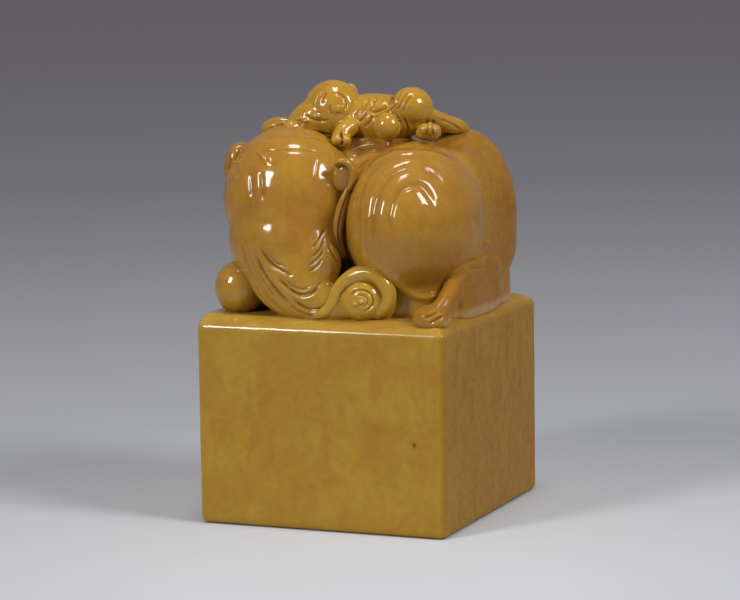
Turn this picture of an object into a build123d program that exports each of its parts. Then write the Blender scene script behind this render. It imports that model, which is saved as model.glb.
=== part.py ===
"""Seal stamp carved from one square stone: a plain block with an engraved face below, and above it a
recumbent beast with bowed head and curling beard, with its cub lying across its back.

The frame: the origin is the centre of the stamping face, +X runs to the right along the front, -Y is the
front, +Z is up, and lengths are millimetres. The stone is one piece in real life. Here each carved member
is a solid of its own, cut to the members beside it, so that they meet face to face.
"""
from build123d import *
import math
import os

# Block
block_width = 30.0
block_depth = 31.0
block_height = 23.2
block_corner_radius = 1.8
block_top_radius = 0.9

# Stamping face, a slab at the foot of the block
face_slab_height = 2.4
face_edge_radius = 0.35
engraving_depth = 0.9
face_border = 1.5
face_border_gap = 0.8
fret_stroke = 0.8
fret_gap = 0.75
fret_columns = 3
fret_rows = 3
fret_turns = 5

# Beast: torso, which carries the other members
torso_half = (11.0, 11.0, 10.6)
torso_shift = (2.8, 3.0)
torso_sink = 0.9

# Beast: shoulders, haunches, neck
right_shoulder_half = (7.45, 10.6, 9.3)
right_shoulder_shares = (0.43, -0.66, 0.10)
left_shoulder_half = (6.6, 7.4, 9.4)
left_shoulder_shares = (-0.93, -0.38, 0.14)
right_haunch_half = (6.3, 7.5, 10.5)
right_haunch_shares = (0.53, 0.43, 0.06)
left_haunch_half = (6.0, 7.3, 9.2)
left_haunch_shares = (-1.00, 0.45, 0.10)
neck_half = (10.5, 6.6, 5.0)
neck_shares = (-0.25, -0.42, 0.62)

# Beast: head
head_half = (7.9, 7.3, 8.3)
head_shares = (-0.89, -0.81, 0.33)
muzzle_half = (6.9, 6.1, 6.6)
muzzle_shares = (0.06, -0.25, -0.57)
ear_cup_share = 0.62
ear_cup_step = 1.3
right_ear_half = (1.5, 1.9, 2.7)
right_ear_shares = (1.00, -0.44, 0.37)
right_ear_lean = (0, 18, 0)
left_ear_half = (1.5, 2.3, 2.6)
left_ear_shares = (-0.80, -0.08, 0.48)
left_ear_lean = (0, 12, 0)

# Beast: lock of mane between head and shoulder
lock_shares = ((1.06, -0.41, 0.24), (0.94, -0.42, -0.10), (0.88, -0.41, -0.42), (0.91, -0.36, -0.72))
lock_half_widths = (0.70, 1.10, 1.00, 0.60)
lock_half_thicknesses = (0.90, 1.20, 1.20, 0.80)

# Beast: beard, a plume that sweeps to the right and ends in a scroll
# Each of its points: X, distance back from the front of the block, height above the block
scroll_radius = 3.6
scroll_thickness = 4.6
scroll_shift = 4.9
scroll_front_gap = 1.5
scroll_sink = 0.1
scroll_groove = 0.42
scroll_groove_depth = 0.5
scroll_turns = 1.6
scroll_steps = 12
scroll_eye_share = 0.12
beard_points = ((-7.2, 4.8, 8.6), (-5.6, 4.0, 5.2), (-3.1, 3.6, 3.0), (0.2, 3.4, 2.0), (3.6, 3.4, 1.7))
beard_half_widths = (4.4, 3.9, 2.8, 2.0, 1.6)
beard_half_thicknesses = (3.2, 2.7, 2.3, 2.0, 1.7)

# Beast: forelegs and paws
# Each point of the foreleg: distance in from the right side, back from the front, and up from the block
paw_edge_gap = 0.35
paw_sink = 0.3
right_elbow_half = (2.7, 6.4, 4.2)
right_elbow_setback = 16.6
foreleg_points = ((1.6, 17.0, 6.8), (1.4, 13.3, 6.6), (1.4, 9.1, 5.8), (1.5, 6.3, 4.2), (1.9, 4.3, 2.0))
foreleg_radii = (1.05, 1.05, 1.05, 1.10, 1.25)
right_forepaw_half = (2.1, 2.4, 1.7)
right_forepaw_setback = 2.8
left_forearm_half = (3.0, 5.6, 4.4)
left_forearm_setback = 9.6
left_forepaw_half = (2.8, 3.1, 3.0)
left_forepaw_setback = 5.5
left_forepaw_lift = 1.1

# Beast: hind paws
hind_paw_half = (2.3, 4.4, 2.9)
right_hind_paw_setback = 21.6
left_hind_paw_setback = 20.6

# Beast: tail on the back, split into two scrolls
tail_shares = ((-0.16, 0.70, 0.74), (-0.19, 0.90, 0.42), (-0.18, 0.99, 0.05), (-0.16, 0.98, -0.34))
tail_half_widths = (1.0, 1.45, 1.7, 1.95)
tail_half_thicknesses = (0.65, 0.95, 1.1, 1.25)
tail_scroll_radius = 3.1
tail_scroll_thickness = 4.4
tail_scroll_spread = 3.4
tail_scroll_shift = 1.0
tail_scroll_back_gap = 1.1
tail_scroll_sink = 0.15

# Cub, lying across the back
cub_height = 22.4
cub_shift = (1.2, -0.2)
cub_body_half = (6.6, 3.3, 3.0)
cub_head_half = (3.5, 3.1, 3.5)
cub_head_shares = (-0.73, -0.36, 0.26)
cub_muzzle_half = (3.9, 2.9, 2.5)
cub_muzzle_shares = (-1.08, -0.52, -0.16)
cub_muzzle_lean = (0, -38, 0)
cub_nose_radius = 1.1
cub_nose_shares = (-0.42, -0.92, -0.30)
cub_ear_half = (1.0, 0.7, 1.3)
cub_ear_shares = (0.30, 0.80, 0.48)
cub_rump_half = (2.3, 2.6, 2.4)
cub_rump_shares = (0.73, -0.06, 0.44)
cub_hind_paw_half = (1.5, 1.5, 1.6)
cub_hind_paw_shares = (0.41, -1.12, -0.26)
cub_toe_half = (1.5, 1.5, 1.4)
cub_toe_shares = (1.08, -0.74, -0.40)
cub_tail_shares = ((0.88, 0.20, 0.34), (1.08, 0.85, -0.16), (1.22, 1.45, -0.26), (1.26, 2.15, -0.36))
cub_tail_radii = (1.0, 1.25, 1.15, 0.75)

# Curl of mane beside the cub
curl_half = (2.5, 1.8, 1.5)
curl_shares = (-1.70, -0.54, -0.50)


# Ways to face, as vectors, and the turns that put an ellipsoid's seam on a side
front = (0, -1, 0)
rear = (0, 1, 0)
rightward = (1, 0, 0)
upward = (0, 0, 1)
to_right = (0, 0, 0)
to_left = (0, 0, 180)
facing_front = (90, 0, 0)
on_its_face = (Align.CENTER, Align.CENTER, Align.MIN)


def egg(centre, half_sizes, tilt=(0, 0, 0), seam=to_right):
    """A solid ellipsoid about the centre, turned by the tilt angles, with its seam on an open side."""
    seat = Plane(Location(tuple(centre), tilt))
    wide, deep, high = half_sizes
    shaping = Matrix([[wide, 0, 0, 0], [0, deep, 0, 0], [0, 0, high, 0]])
    ball = Sphere(1, rotation=seam, mode=Mode.PRIVATE).solid()
    return ball.transform_geometry(seat.reverse_transform.multiply(shaping))


def within(centre, half_sizes, shares):
    """The point at the given shares of a member's half sizes, from that member's centre."""
    return Vector(*(c + h * s for c, h, s in zip(centre, half_sizes, shares)))


def limb(points, half_widths, half_thicknesses, facing):
    """A limb lofted through ellipses along a smooth line, with its flat side looking the facing way."""
    line = Spline(*points)
    sections = []
    for number, (wide, thick) in enumerate(zip(half_widths, half_thicknesses)):
        along = number / (len(half_widths) - 1)
        forward = line % along
        plane = Plane(origin=line @ along, x_dir=forward.cross(Vector(*facing)), z_dir=forward)
        sections.append(plane * Ellipse(wide, thick))
    return loft(sections)


def solids_of(*members):
    """The solids of finished members, to cut a new member to them."""
    return [member.part for member in members]


def main_solid(member):
    """The largest solid of a member, without the crumbs that a neighbour cut off."""
    return member.part.solids().sort_by(SortBy.VOLUME)[-1]


def spiral_points(radius, turns, steps_per_turn, inner_share):
    """Points of a spiral in a plane, from its rim in to its eye."""
    count = round(turns * steps_per_turn)
    points = []
    for step in range(count + 1):
        share = step / count
        reach = radius * (1 - share * (1 - inner_share))
        angle = 2 * math.pi * turns * share
        points.append((reach * math.cos(angle), reach * math.sin(angle)))
    return points


def above_block(across, setback, height):
    """The point at a height above the block, set back from the block's front edge."""
    return Vector(across, setback - block_depth / 2, block_height + height)


def paw_centre(side, half_sizes, setback, lift=0):
    """The centre of a member that lies on the block beside its right (1) or left (-1) edge."""
    wide, deep, high = half_sizes
    return above_block(side * (block_width / 2 - paw_edge_gap - wide), setback, high - paw_sink + lift)


# Places that several members share
torso_centre = Vector(*torso_shift, block_height + torso_half[2] - torso_sink)
right_shoulder_centre = within(torso_centre, torso_half, right_shoulder_shares)
left_shoulder_centre = within(torso_centre, torso_half, left_shoulder_shares)
right_haunch_centre = within(torso_centre, torso_half, right_haunch_shares)
left_haunch_centre = within(torso_centre, torso_half, left_haunch_shares)
neck_centre = within(torso_centre, torso_half, neck_shares)
head_centre = within(torso_centre, torso_half, head_shares)
muzzle_centre = within(head_centre, head_half, muzzle_shares)
right_ear_centre = within(head_centre, head_half, right_ear_shares)
left_ear_centre = within(head_centre, head_half, left_ear_shares)
right_ear_cup_half = [size * ear_cup_share for size in right_ear_half]
left_ear_cup_half = [size * ear_cup_share for size in left_ear_half]
ear_cup_shift = Vector(0, -ear_cup_step, 0)
lock_line = [within(head_centre, head_half, shares) for shares in lock_shares]
scroll_centre = above_block(scroll_shift, scroll_front_gap, scroll_radius - scroll_sink)
scroll_plane = Plane(scroll_centre, x_dir=rightward, z_dir=front)
scroll_line = spiral_points(scroll_radius - scroll_groove, scroll_turns, scroll_steps, scroll_eye_share)
beard_line = [above_block(*point) for point in beard_points]
left_forepaw_centre = paw_centre(-1, left_forepaw_half, left_forepaw_setback, left_forepaw_lift)
foreleg_line = [above_block(block_width / 2 - inset, back, up) for inset, back, up in foreleg_points]
tail_line = [within(torso_centre, torso_half, shares) for shares in tail_shares]
tail_scroll_setback = block_depth - tail_scroll_back_gap
tail_scroll_lift = tail_scroll_radius - tail_scroll_sink
right_tail_scroll_x = tail_scroll_shift + tail_scroll_spread
left_tail_scroll_x = tail_scroll_shift - tail_scroll_spread
right_tail_scroll_face = above_block(right_tail_scroll_x, tail_scroll_setback, tail_scroll_lift)
left_tail_scroll_face = above_block(left_tail_scroll_x, tail_scroll_setback, tail_scroll_lift)
cub_centre = above_block(cub_shift[0], cub_shift[1] + block_depth / 2, cub_height)
cub_head_centre = within(cub_centre, cub_body_half, cub_head_shares)
cub_muzzle_centre = within(cub_centre, cub_body_half, cub_muzzle_shares)
cub_tail_line = [within(cub_centre, cub_body_half, shares) for shares in cub_tail_shares]


# The square block, without its stamping face
with BuildPart() as seal_block:
    with BuildSketch(Plane.XY.offset(face_slab_height)):
        RectangleRounded(block_width, block_depth, block_corner_radius)
    extrude(amount=block_height - face_slab_height)
    fillet(seal_block.faces().sort_by(Axis.Z)[-1].edges(), block_top_radius)

# One square spiral of the stamping face, drawn inwards from its lower left corner
field_width = block_width - 2 * (face_border + face_border_gap) + fret_gap
field_depth = block_depth - 2 * (face_border + face_border_gap) + fret_gap
cell_width = field_width / fret_columns
cell_depth = field_depth / fret_rows
reach_x = (cell_width - fret_gap - fret_stroke) / 2
reach_y = (cell_depth - fret_gap - fret_stroke) / 2
step_x = 2 * reach_x / fret_turns
step_y = 2 * reach_y / fret_turns
fret_corners = [(-reach_x, -reach_y), (reach_x, -reach_y), (reach_x, reach_y)]
for ring in range(1, fret_turns // 2 + 1):
    left = -reach_x + (ring - 1) * step_x
    right = reach_x - ring * step_x
    low = -reach_y + ring * step_y
    high = reach_y - (ring - 1) * step_y
    fret_corners += [(left, high), (left, low), (right, low), (right, high - step_y)]
with BuildSketch() as fret:
    with BuildLine():
        Polyline(*fret_corners)
    trace(line_width=fret_stroke)

# The stamping face: a border and rows of square spirals stand in relief
with BuildPart() as seal_face:
    with BuildSketch():
        RectangleRounded(block_width, block_depth, block_corner_radius)
    extrude(amount=face_slab_height)
    fillet(seal_face.faces().sort_by(Axis.Z)[0].edges(), face_edge_radius)
    with BuildSketch():
        Rectangle(block_width - 2 * face_border, block_depth - 2 * face_border)
        with GridLocations(cell_width, cell_depth, fret_columns, fret_rows):
            add(fret.sketch, mode=Mode.SUBTRACT)
    extrude(amount=engraving_depth, mode=Mode.SUBTRACT)

# Torso, standing on the block
with BuildPart() as torso:
    add(egg(torso_centre, torso_half))
    add(solids_of(seal_block), mode=Mode.SUBTRACT)

# Shoulders and haunches
with BuildPart() as right_shoulder:
    add(egg(right_shoulder_centre, right_shoulder_half))
    add(solids_of(seal_block, torso), mode=Mode.SUBTRACT)

with BuildPart() as right_haunch:
    add(egg(right_haunch_centre, right_haunch_half))
    add(solids_of(seal_block, torso, right_shoulder), mode=Mode.SUBTRACT)

with BuildPart() as left_shoulder:
    add(egg(left_shoulder_centre, left_shoulder_half, seam=to_left))
    add(solids_of(seal_block, torso), mode=Mode.SUBTRACT)

with BuildPart() as left_haunch:
    add(egg(left_haunch_centre, left_haunch_half, seam=to_left))
    add(solids_of(seal_block, torso, left_shoulder), mode=Mode.SUBTRACT)

with BuildPart() as neck:
    add(egg(neck_centre, neck_half))
    add(solids_of(torso, right_shoulder, left_shoulder, right_haunch, left_haunch), mode=Mode.SUBTRACT)

# Head, bowed over the front left of the block
with BuildPart() as head:
    add(egg(head_centre, head_half))
    add(solids_of(torso, right_shoulder, left_shoulder, neck), mode=Mode.SUBTRACT)

with BuildPart() as muzzle:
    add(egg(muzzle_centre, muzzle_half))
    add(solids_of(seal_block, torso, left_shoulder, neck, head), mode=Mode.SUBTRACT)
    add(main_solid(muzzle), mode=Mode.REPLACE)

with BuildPart() as right_ear:
    add(egg(right_ear_centre, right_ear_half, right_ear_lean))
    add(egg(right_ear_centre + ear_cup_shift, right_ear_cup_half, right_ear_lean), mode=Mode.SUBTRACT)
    add(solids_of(head, right_shoulder, neck), mode=Mode.SUBTRACT)

with BuildPart() as left_ear:
    add(egg(left_ear_centre, left_ear_half, left_ear_lean))
    add(egg(left_ear_centre + ear_cup_shift, left_ear_cup_half, left_ear_lean), mode=Mode.SUBTRACT)
    add(solids_of(head, left_shoulder, neck), mode=Mode.SUBTRACT)
    add(main_solid(left_ear), mode=Mode.REPLACE)

mane_lock_form = limb(lock_line, lock_half_widths, lock_half_thicknesses, front)
with BuildPart() as mane_lock:
    add(mane_lock_form)
    add(solids_of(head, right_shoulder, right_ear, muzzle, torso), mode=Mode.SUBTRACT)
    add(main_solid(mane_lock), mode=Mode.REPLACE)

# Beard and its scroll, over the front edge of the block
with BuildPart() as beard_scroll:
    with BuildSketch(scroll_plane):
        Circle(scroll_radius)
    extrude(amount=-scroll_thickness)
    with BuildSketch(scroll_plane):
        with BuildLine():
            Spline(*scroll_line)
        trace(line_width=scroll_groove)
    extrude(amount=-scroll_groove_depth, mode=Mode.SUBTRACT)
    add(solids_of(seal_block, right_shoulder, torso), mode=Mode.SUBTRACT)

beard_form = limb(beard_line, beard_half_widths, beard_half_thicknesses, front)
with BuildPart() as beard:
    add(beard_form)
    add(solids_of(seal_block, beard_scroll, muzzle, head, torso, right_shoulder), mode=Mode.SUBTRACT)
    add(main_solid(beard), mode=Mode.REPLACE)

# Right foreleg, which runs forward along the edge of the block and steps down to its paw
with BuildPart() as right_elbow:
    add(egg(paw_centre(1, right_elbow_half, right_elbow_setback), right_elbow_half))
    add(solids_of(seal_block, torso, right_shoulder, right_haunch), mode=Mode.SUBTRACT)

with BuildPart() as right_forepaw:
    add(egg(paw_centre(1, right_forepaw_half, right_forepaw_setback), right_forepaw_half))
    add(solids_of(seal_block), mode=Mode.SUBTRACT)

right_foreleg_form = limb(foreleg_line, foreleg_radii, foreleg_radii, rightward)
with BuildPart() as right_foreleg:
    add(right_foreleg_form)
    add(solids_of(right_elbow, right_shoulder, right_forepaw, right_haunch, torso), mode=Mode.SUBTRACT)

# Left foreleg, folded under the head
with BuildPart() as left_forearm:
    add(egg(paw_centre(-1, left_forearm_half, left_forearm_setback), left_forearm_half))
    add(solids_of(seal_block, torso, left_shoulder, left_haunch, head, muzzle), mode=Mode.SUBTRACT)

with BuildPart() as left_forepaw:
    add(egg(left_forepaw_centre, left_forepaw_half))
    add(solids_of(seal_block, left_forearm, head, muzzle, beard), mode=Mode.SUBTRACT)

# Hind paws
with BuildPart() as right_hind_paw:
    add(egg(paw_centre(1, hind_paw_half, right_hind_paw_setback), hind_paw_half))
    add(solids_of(seal_block, torso, right_haunch, right_elbow), mode=Mode.SUBTRACT)

with BuildPart() as left_hind_paw:
    add(egg(paw_centre(-1, hind_paw_half, left_hind_paw_setback), hind_paw_half))
    add(solids_of(seal_block, torso, left_haunch, left_shoulder, left_forearm), mode=Mode.SUBTRACT)

# Tail, which runs down the back and parts into two scrolls
with BuildPart() as right_tail_scroll:
    with Locations(right_tail_scroll_face):
        Cylinder(tail_scroll_radius, tail_scroll_thickness, rotation=facing_front, align=on_its_face)
    add(solids_of(seal_block, torso, right_haunch), mode=Mode.SUBTRACT)

with BuildPart() as left_tail_scroll:
    with Locations(left_tail_scroll_face):
        Cylinder(tail_scroll_radius, tail_scroll_thickness, rotation=facing_front, align=on_its_face)
    add(solids_of(seal_block, torso, left_haunch, right_tail_scroll), mode=Mode.SUBTRACT)

tail_form = limb(tail_line, tail_half_widths, tail_half_thicknesses, rear)
with BuildPart() as tail:
    add(tail_form)
    add(solids_of(torso, right_haunch, left_haunch), mode=Mode.SUBTRACT)
    add(solids_of(right_tail_scroll, left_tail_scroll), mode=Mode.SUBTRACT)

# Cub
with BuildPart() as cub_body:
    add(egg(cub_centre, cub_body_half))
    add(solids_of(torso, neck, right_shoulder, left_shoulder), mode=Mode.SUBTRACT)
    add(solids_of(right_haunch, left_haunch), mode=Mode.SUBTRACT)

with BuildPart() as cub_head:
    add(egg(cub_head_centre, cub_head_half))
    add(solids_of(cub_body, neck, head, left_shoulder, left_haunch, torso), mode=Mode.SUBTRACT)

with BuildPart() as cub_muzzle:
    add(egg(cub_muzzle_centre, cub_muzzle_half, cub_muzzle_lean))
    add(solids_of(cub_head, cub_body, neck, head, left_shoulder), mode=Mode.SUBTRACT)

with BuildPart() as cub_nose:
    add(egg(within(cub_muzzle_centre, cub_muzzle_half, cub_nose_shares), [cub_nose_radius] * 3))
    add(solids_of(cub_muzzle, head, neck), mode=Mode.SUBTRACT)
    add(main_solid(cub_nose), mode=Mode.REPLACE)

with BuildPart() as cub_ear:
    add(egg(within(cub_head_centre, cub_head_half, cub_ear_shares), cub_ear_half))
    add(solids_of(cub_head, cub_body), mode=Mode.SUBTRACT)

with BuildPart() as cub_rump:
    add(egg(within(cub_centre, cub_body_half, cub_rump_shares), cub_rump_half))
    add(solids_of(cub_body, torso, right_haunch, right_shoulder), mode=Mode.SUBTRACT)

with BuildPart() as cub_hind_paw:
    add(egg(within(cub_centre, cub_body_half, cub_hind_paw_shares), cub_hind_paw_half))
    add(solids_of(cub_body, cub_rump, torso, right_shoulder, neck), mode=Mode.SUBTRACT)

with BuildPart() as cub_toe:
    add(egg(within(cub_centre, cub_body_half, cub_toe_shares), cub_toe_half))
    add(solids_of(cub_body, cub_rump, torso, right_haunch, right_shoulder), mode=Mode.SUBTRACT)

cub_tail_form = limb(cub_tail_line, cub_tail_radii, cub_tail_radii, upward)
with BuildPart() as cub_tail:
    add(cub_tail_form)
    add(solids_of(cub_body, cub_rump, cub_toe, torso, right_haunch, right_shoulder), mode=Mode.SUBTRACT)

# Curl of mane beside the cub
with BuildPart() as mane_curl:
    add(egg(within(cub_centre, cub_body_half, curl_shares), curl_half))
    add(solids_of(cub_muzzle, cub_nose, head, neck, left_shoulder, torso), mode=Mode.SUBTRACT)

# One file for each member
members = dict(
    seal_block=seal_block, seal_face=seal_face, torso=torso, right_shoulder=right_shoulder,
    left_shoulder=left_shoulder, right_haunch=right_haunch, left_haunch=left_haunch, neck=neck, head=head,
    muzzle=muzzle, right_ear=right_ear, left_ear=left_ear, mane_lock=mane_lock, beard=beard,
    beard_scroll=beard_scroll, right_elbow=right_elbow, right_foreleg=right_foreleg,
    right_forepaw=right_forepaw, left_forearm=left_forearm, left_forepaw=left_forepaw,
    right_hind_paw=right_hind_paw, left_hind_paw=left_hind_paw, tail=tail,
    right_tail_scroll=right_tail_scroll, left_tail_scroll=left_tail_scroll, cub_body=cub_body,
    cub_head=cub_head, cub_muzzle=cub_muzzle, cub_nose=cub_nose, cub_ear=cub_ear, cub_rump=cub_rump,
    cub_hind_paw=cub_hind_paw, cub_toe=cub_toe, cub_tail=cub_tail, mane_curl=mane_curl)
os.makedirs("parts", exist_ok=True)
for name, member in members.items():
    member.part.label = name
    export_step(member.part, f"parts/{name}.step")
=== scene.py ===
import math

import bmesh
import bpy
import numpy as np
from mathutils import Matrix, Vector


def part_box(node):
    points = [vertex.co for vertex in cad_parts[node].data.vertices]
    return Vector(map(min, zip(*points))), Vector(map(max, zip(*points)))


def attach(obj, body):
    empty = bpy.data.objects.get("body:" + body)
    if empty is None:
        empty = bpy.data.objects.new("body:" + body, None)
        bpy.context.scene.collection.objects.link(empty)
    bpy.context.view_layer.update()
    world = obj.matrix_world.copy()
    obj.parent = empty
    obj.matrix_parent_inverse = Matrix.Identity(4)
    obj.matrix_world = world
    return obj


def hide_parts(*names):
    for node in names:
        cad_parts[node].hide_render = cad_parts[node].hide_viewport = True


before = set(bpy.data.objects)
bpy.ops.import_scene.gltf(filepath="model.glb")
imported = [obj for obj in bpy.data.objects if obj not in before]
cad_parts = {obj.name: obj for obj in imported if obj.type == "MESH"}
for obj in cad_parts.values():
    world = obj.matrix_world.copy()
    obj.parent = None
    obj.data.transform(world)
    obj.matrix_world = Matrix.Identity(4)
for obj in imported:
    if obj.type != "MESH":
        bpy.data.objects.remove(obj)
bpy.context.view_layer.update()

# The forms are modelled in millimetres and brought to metres when they are finished.
metre = 1000.0
block_low = [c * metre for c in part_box("seal_block")[0]]
block_high = [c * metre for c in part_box("seal_block")[1]]
face_low = [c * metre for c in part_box("seal_face")[0]]
block_top = block_high[2]

# Where the photograph was taken from
photo_width = 740
photo_height = 600
sight_turn = math.radians(22.481)
sight_rise = math.radians(7.589)
sight_roll = math.radians(-0.803)
sight_length = 2874.0
eye = np.array((126.53, -305.74, 68.36))
film_width = 36.0

level_right = np.array((math.cos(sight_turn), math.sin(sight_turn), 0.0))
sight_back = np.array(
    (
        math.sin(sight_turn) * math.cos(sight_rise),
        -math.cos(sight_turn) * math.cos(sight_rise),
        math.sin(sight_rise),
    )
)
level_up = np.cross(sight_back, level_right)
sight_right = level_right * math.cos(sight_roll) + level_up * math.sin(sight_roll)
sight_up = level_up * math.cos(sight_roll) - level_right * math.sin(sight_roll)
pixels_per_mm = 8.54


def place_camera():
    """The camera at the photograph's viewing angle."""
    data = bpy.data.cameras.new("photo_view")
    data.sensor_width = film_width
    data.lens = sight_length / photo_width * film_width
    data.clip_start = 0.01
    data.clip_end = 50.0
    camera = bpy.data.objects.new("photo_view", data)
    bpy.context.scene.collection.objects.link(camera)
    axes = Matrix((sight_right, sight_up, sight_back)).transposed().to_4x4()
    camera.matrix_world = Matrix.Translation(Vector(eye / metre)) @ axes
    bpy.context.scene.camera = camera


place_camera()


# Colours and materials


def shade(red, green, blue):
    """A colour as it is read off a photograph, 0 to 255, made linear."""
    channels = []
    for value in (red, green, blue):
        value /= 255
        channels.append(value / 12.92 if value <= 0.04045 else ((value + 0.055) / 1.055) ** 2.4)
    return (*channels, 1.0)


class Signal:
    """One output of a node. Arithmetic on it adds Math nodes."""

    def __init__(self, finish, socket):
        self.finish = finish
        self.socket = socket

    def maths(self, operation, first, second):
        return self.finish.node("ShaderNodeMath", {"operation": operation}, {0: first, 1: second})

    def __add__(self, other):
        return self.maths("ADD", self, other)

    def __radd__(self, other):
        return self.maths("ADD", other, self)

    def __sub__(self, other):
        return self.maths("SUBTRACT", self, other)

    def __rsub__(self, other):
        return self.maths("SUBTRACT", other, self)

    def __mul__(self, other):
        return self.maths("MULTIPLY", self, other)

    def __rmul__(self, other):
        return self.maths("MULTIPLY", other, self)

    def __pow__(self, other):
        return self.maths("POWER", self, other)

    def between(self, low, high):
        """0 below low, 1 above high, and a smooth rise between them."""
        settings = {"interpolation_type": "SMOOTHSTEP", "clamp": True}
        inputs = {0: self, 1: low, 2: high, 3: 0.0, 4: 1.0}
        return self.finish.node("ShaderNodeMapRange", settings, inputs)

    def over(self, span):
        """The same rise of a coordinate, over a span that is given in millimetres."""
        return self.between(span[0] / metre, span[1] / metre)


class Finish:
    """A material while its nodes are laid out."""

    def __init__(self, name):
        self.material = bpy.data.materials.new(name)
        self.material.use_nodes = True
        self.tree = self.material.node_tree
        self.tree.nodes.clear()

    def node(self, kind, settings=None, inputs=None, output=0):
        node = self.tree.nodes.new(kind)
        for key, value in (settings or {}).items():
            if key == "stops":
                ramp = node.color_ramp
                while len(ramp.elements) < len(value):
                    ramp.elements.new(0.5)
                for element, (place, colour) in zip(ramp.elements, value):
                    element.position = place
                    element.color = colour
            else:
                setattr(node, key, value)
        for key, value in (inputs or {}).items():
            if isinstance(value, Signal):
                self.tree.links.new(value.socket, node.inputs[key])
            else:
                node.inputs[key].default_value = value
        return Signal(self, node.outputs[output])

    def place(self):
        return self.node("ShaderNodeTexCoord", output="Object")

    def axes(self, place):
        """How far a place lies across, back and up, as three signals."""
        inputs = {0: place}
        return [self.node("ShaderNodeSeparateXYZ", {}, inputs, output=axis) for axis in range(3)]

    def stretched(self, place, scale):
        return self.node("ShaderNodeMapping", {}, {"Vector": place, "Scale": scale})

    def noise(self, place, size_mm, detail, roughness=0.5, distortion=0.0):
        """Noise whose blotches are about size_mm across."""
        inputs = {
            "Vector": place,
            "Scale": metre / size_mm,
            "Detail": detail,
            "Roughness": roughness,
            "Distortion": distortion,
        }
        return self.node("ShaderNodeTexNoise", {}, inputs, output="Fac")

    def blend(self, first, second, share):
        """The first colour with a share of the second laid over it."""
        inputs = {0: share, 6: first, 7: second}
        return self.node("ShaderNodeMix", {"data_type": "RGBA"}, inputs, output=2)

    def done(self, surface):
        output = self.tree.nodes.new("ShaderNodeOutputMaterial")
        self.tree.links.new(surface.socket, output.inputs["Surface"])
        return self.material


# The polished stone, its wax and the light that it lets in
stone_roughness = 0.33
mottled_roughness = 0.1
cut_roughness = 0.15
stone_shine = 0.05
stone_refraction = 1.5
wax_roughness = 0.09
wax_refraction = 1.5
wax_worn_low_right = 0.85
wax_worn_in_cuts = 0.3
wax_on_other_edges = 0.5
wax_off_right_rim = 0.75
glow_share = 0.2
glow_reach_mm = 1.0
glow_reach_by_colour = (1.0, 0.55, 0.2)

# Relief too fine for the mesh: slow waves, grit and sunken flecks
wave_relief = 0.8
grit_relief = 0.05
fleck_relief = 0.5
relief_strength = 0.35
relief_height_mm = 0.08

# Where the photograph shows the stone's tone, the painted light and shade, or the wax change, in
# millimetres across, back or up
side_face_across = (14.2, 14.9)
right_flank_across = (8.5, 12.5)
right_rim_across = (-5.0, 9.0)
far_left_across = (-15.0, -11.0)
rear_back = (-3.0, 3.0)
top_rim_up = (block_top - 1.0, block_top - 0.4)
carving_up = (block_top + 0.9, block_top + 1.7)
low_front_up = (26.0, 33.0)
high_front_up = (28.0, 37.0)

# Where each kind of noise begins to show, and where it shows in full
cloud_range = (0.38, 0.64)
warmth_range = (0.45, 0.68)
mottling_range = (0.3, 0.75)
streak_range = (0.52, 0.72)
fleck_choice_range = (0.56, 0.62)
fleck_rim = (0.05, 0.11)
fleck_spacing_mm = 3.4

# How the surface's own bend tells its cuts from its edges
cut_bend = (0.43, 0.5)
edge_bend = (0.505, 0.55)

# How much of each tone, and of the painted light and shade, is laid over the stone's body, from 0
# to 1
pale_in_clouds = 0.6
# Painted light: how much paler the low fronts of the carving are made, for light bounced up from
# the floor
painted_bounce_light_at_low_front = 0.8
# Painted highlight on convex edges and ridges
painted_highlight_on_edges = 0.35
warm_in_clouds = 0.65
deep_in_streaks = 0.05
deep_in_side_streaks = 0.4
deep_in_mottling = 0.16
# Painted shade: how much darker the block's right side face is made
painted_shade_on_side_face = 0.95
# Partly the stone's own staining, partly painted shade, on the low right of the carving
stain_and_painted_shade_at_low_right = 0.26
# Partly the stone's own reddish tone, partly painted shade, on the far left of the carving
red_tone_and_painted_shade_at_far_left = 0.28
# Partly the stone's own staining in recesses, partly painted shade in the cuts
stain_and_painted_shade_in_cuts = 0.75
fleck_share = 0.8
fleck_tone = shade(92, 44, 22)


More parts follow.
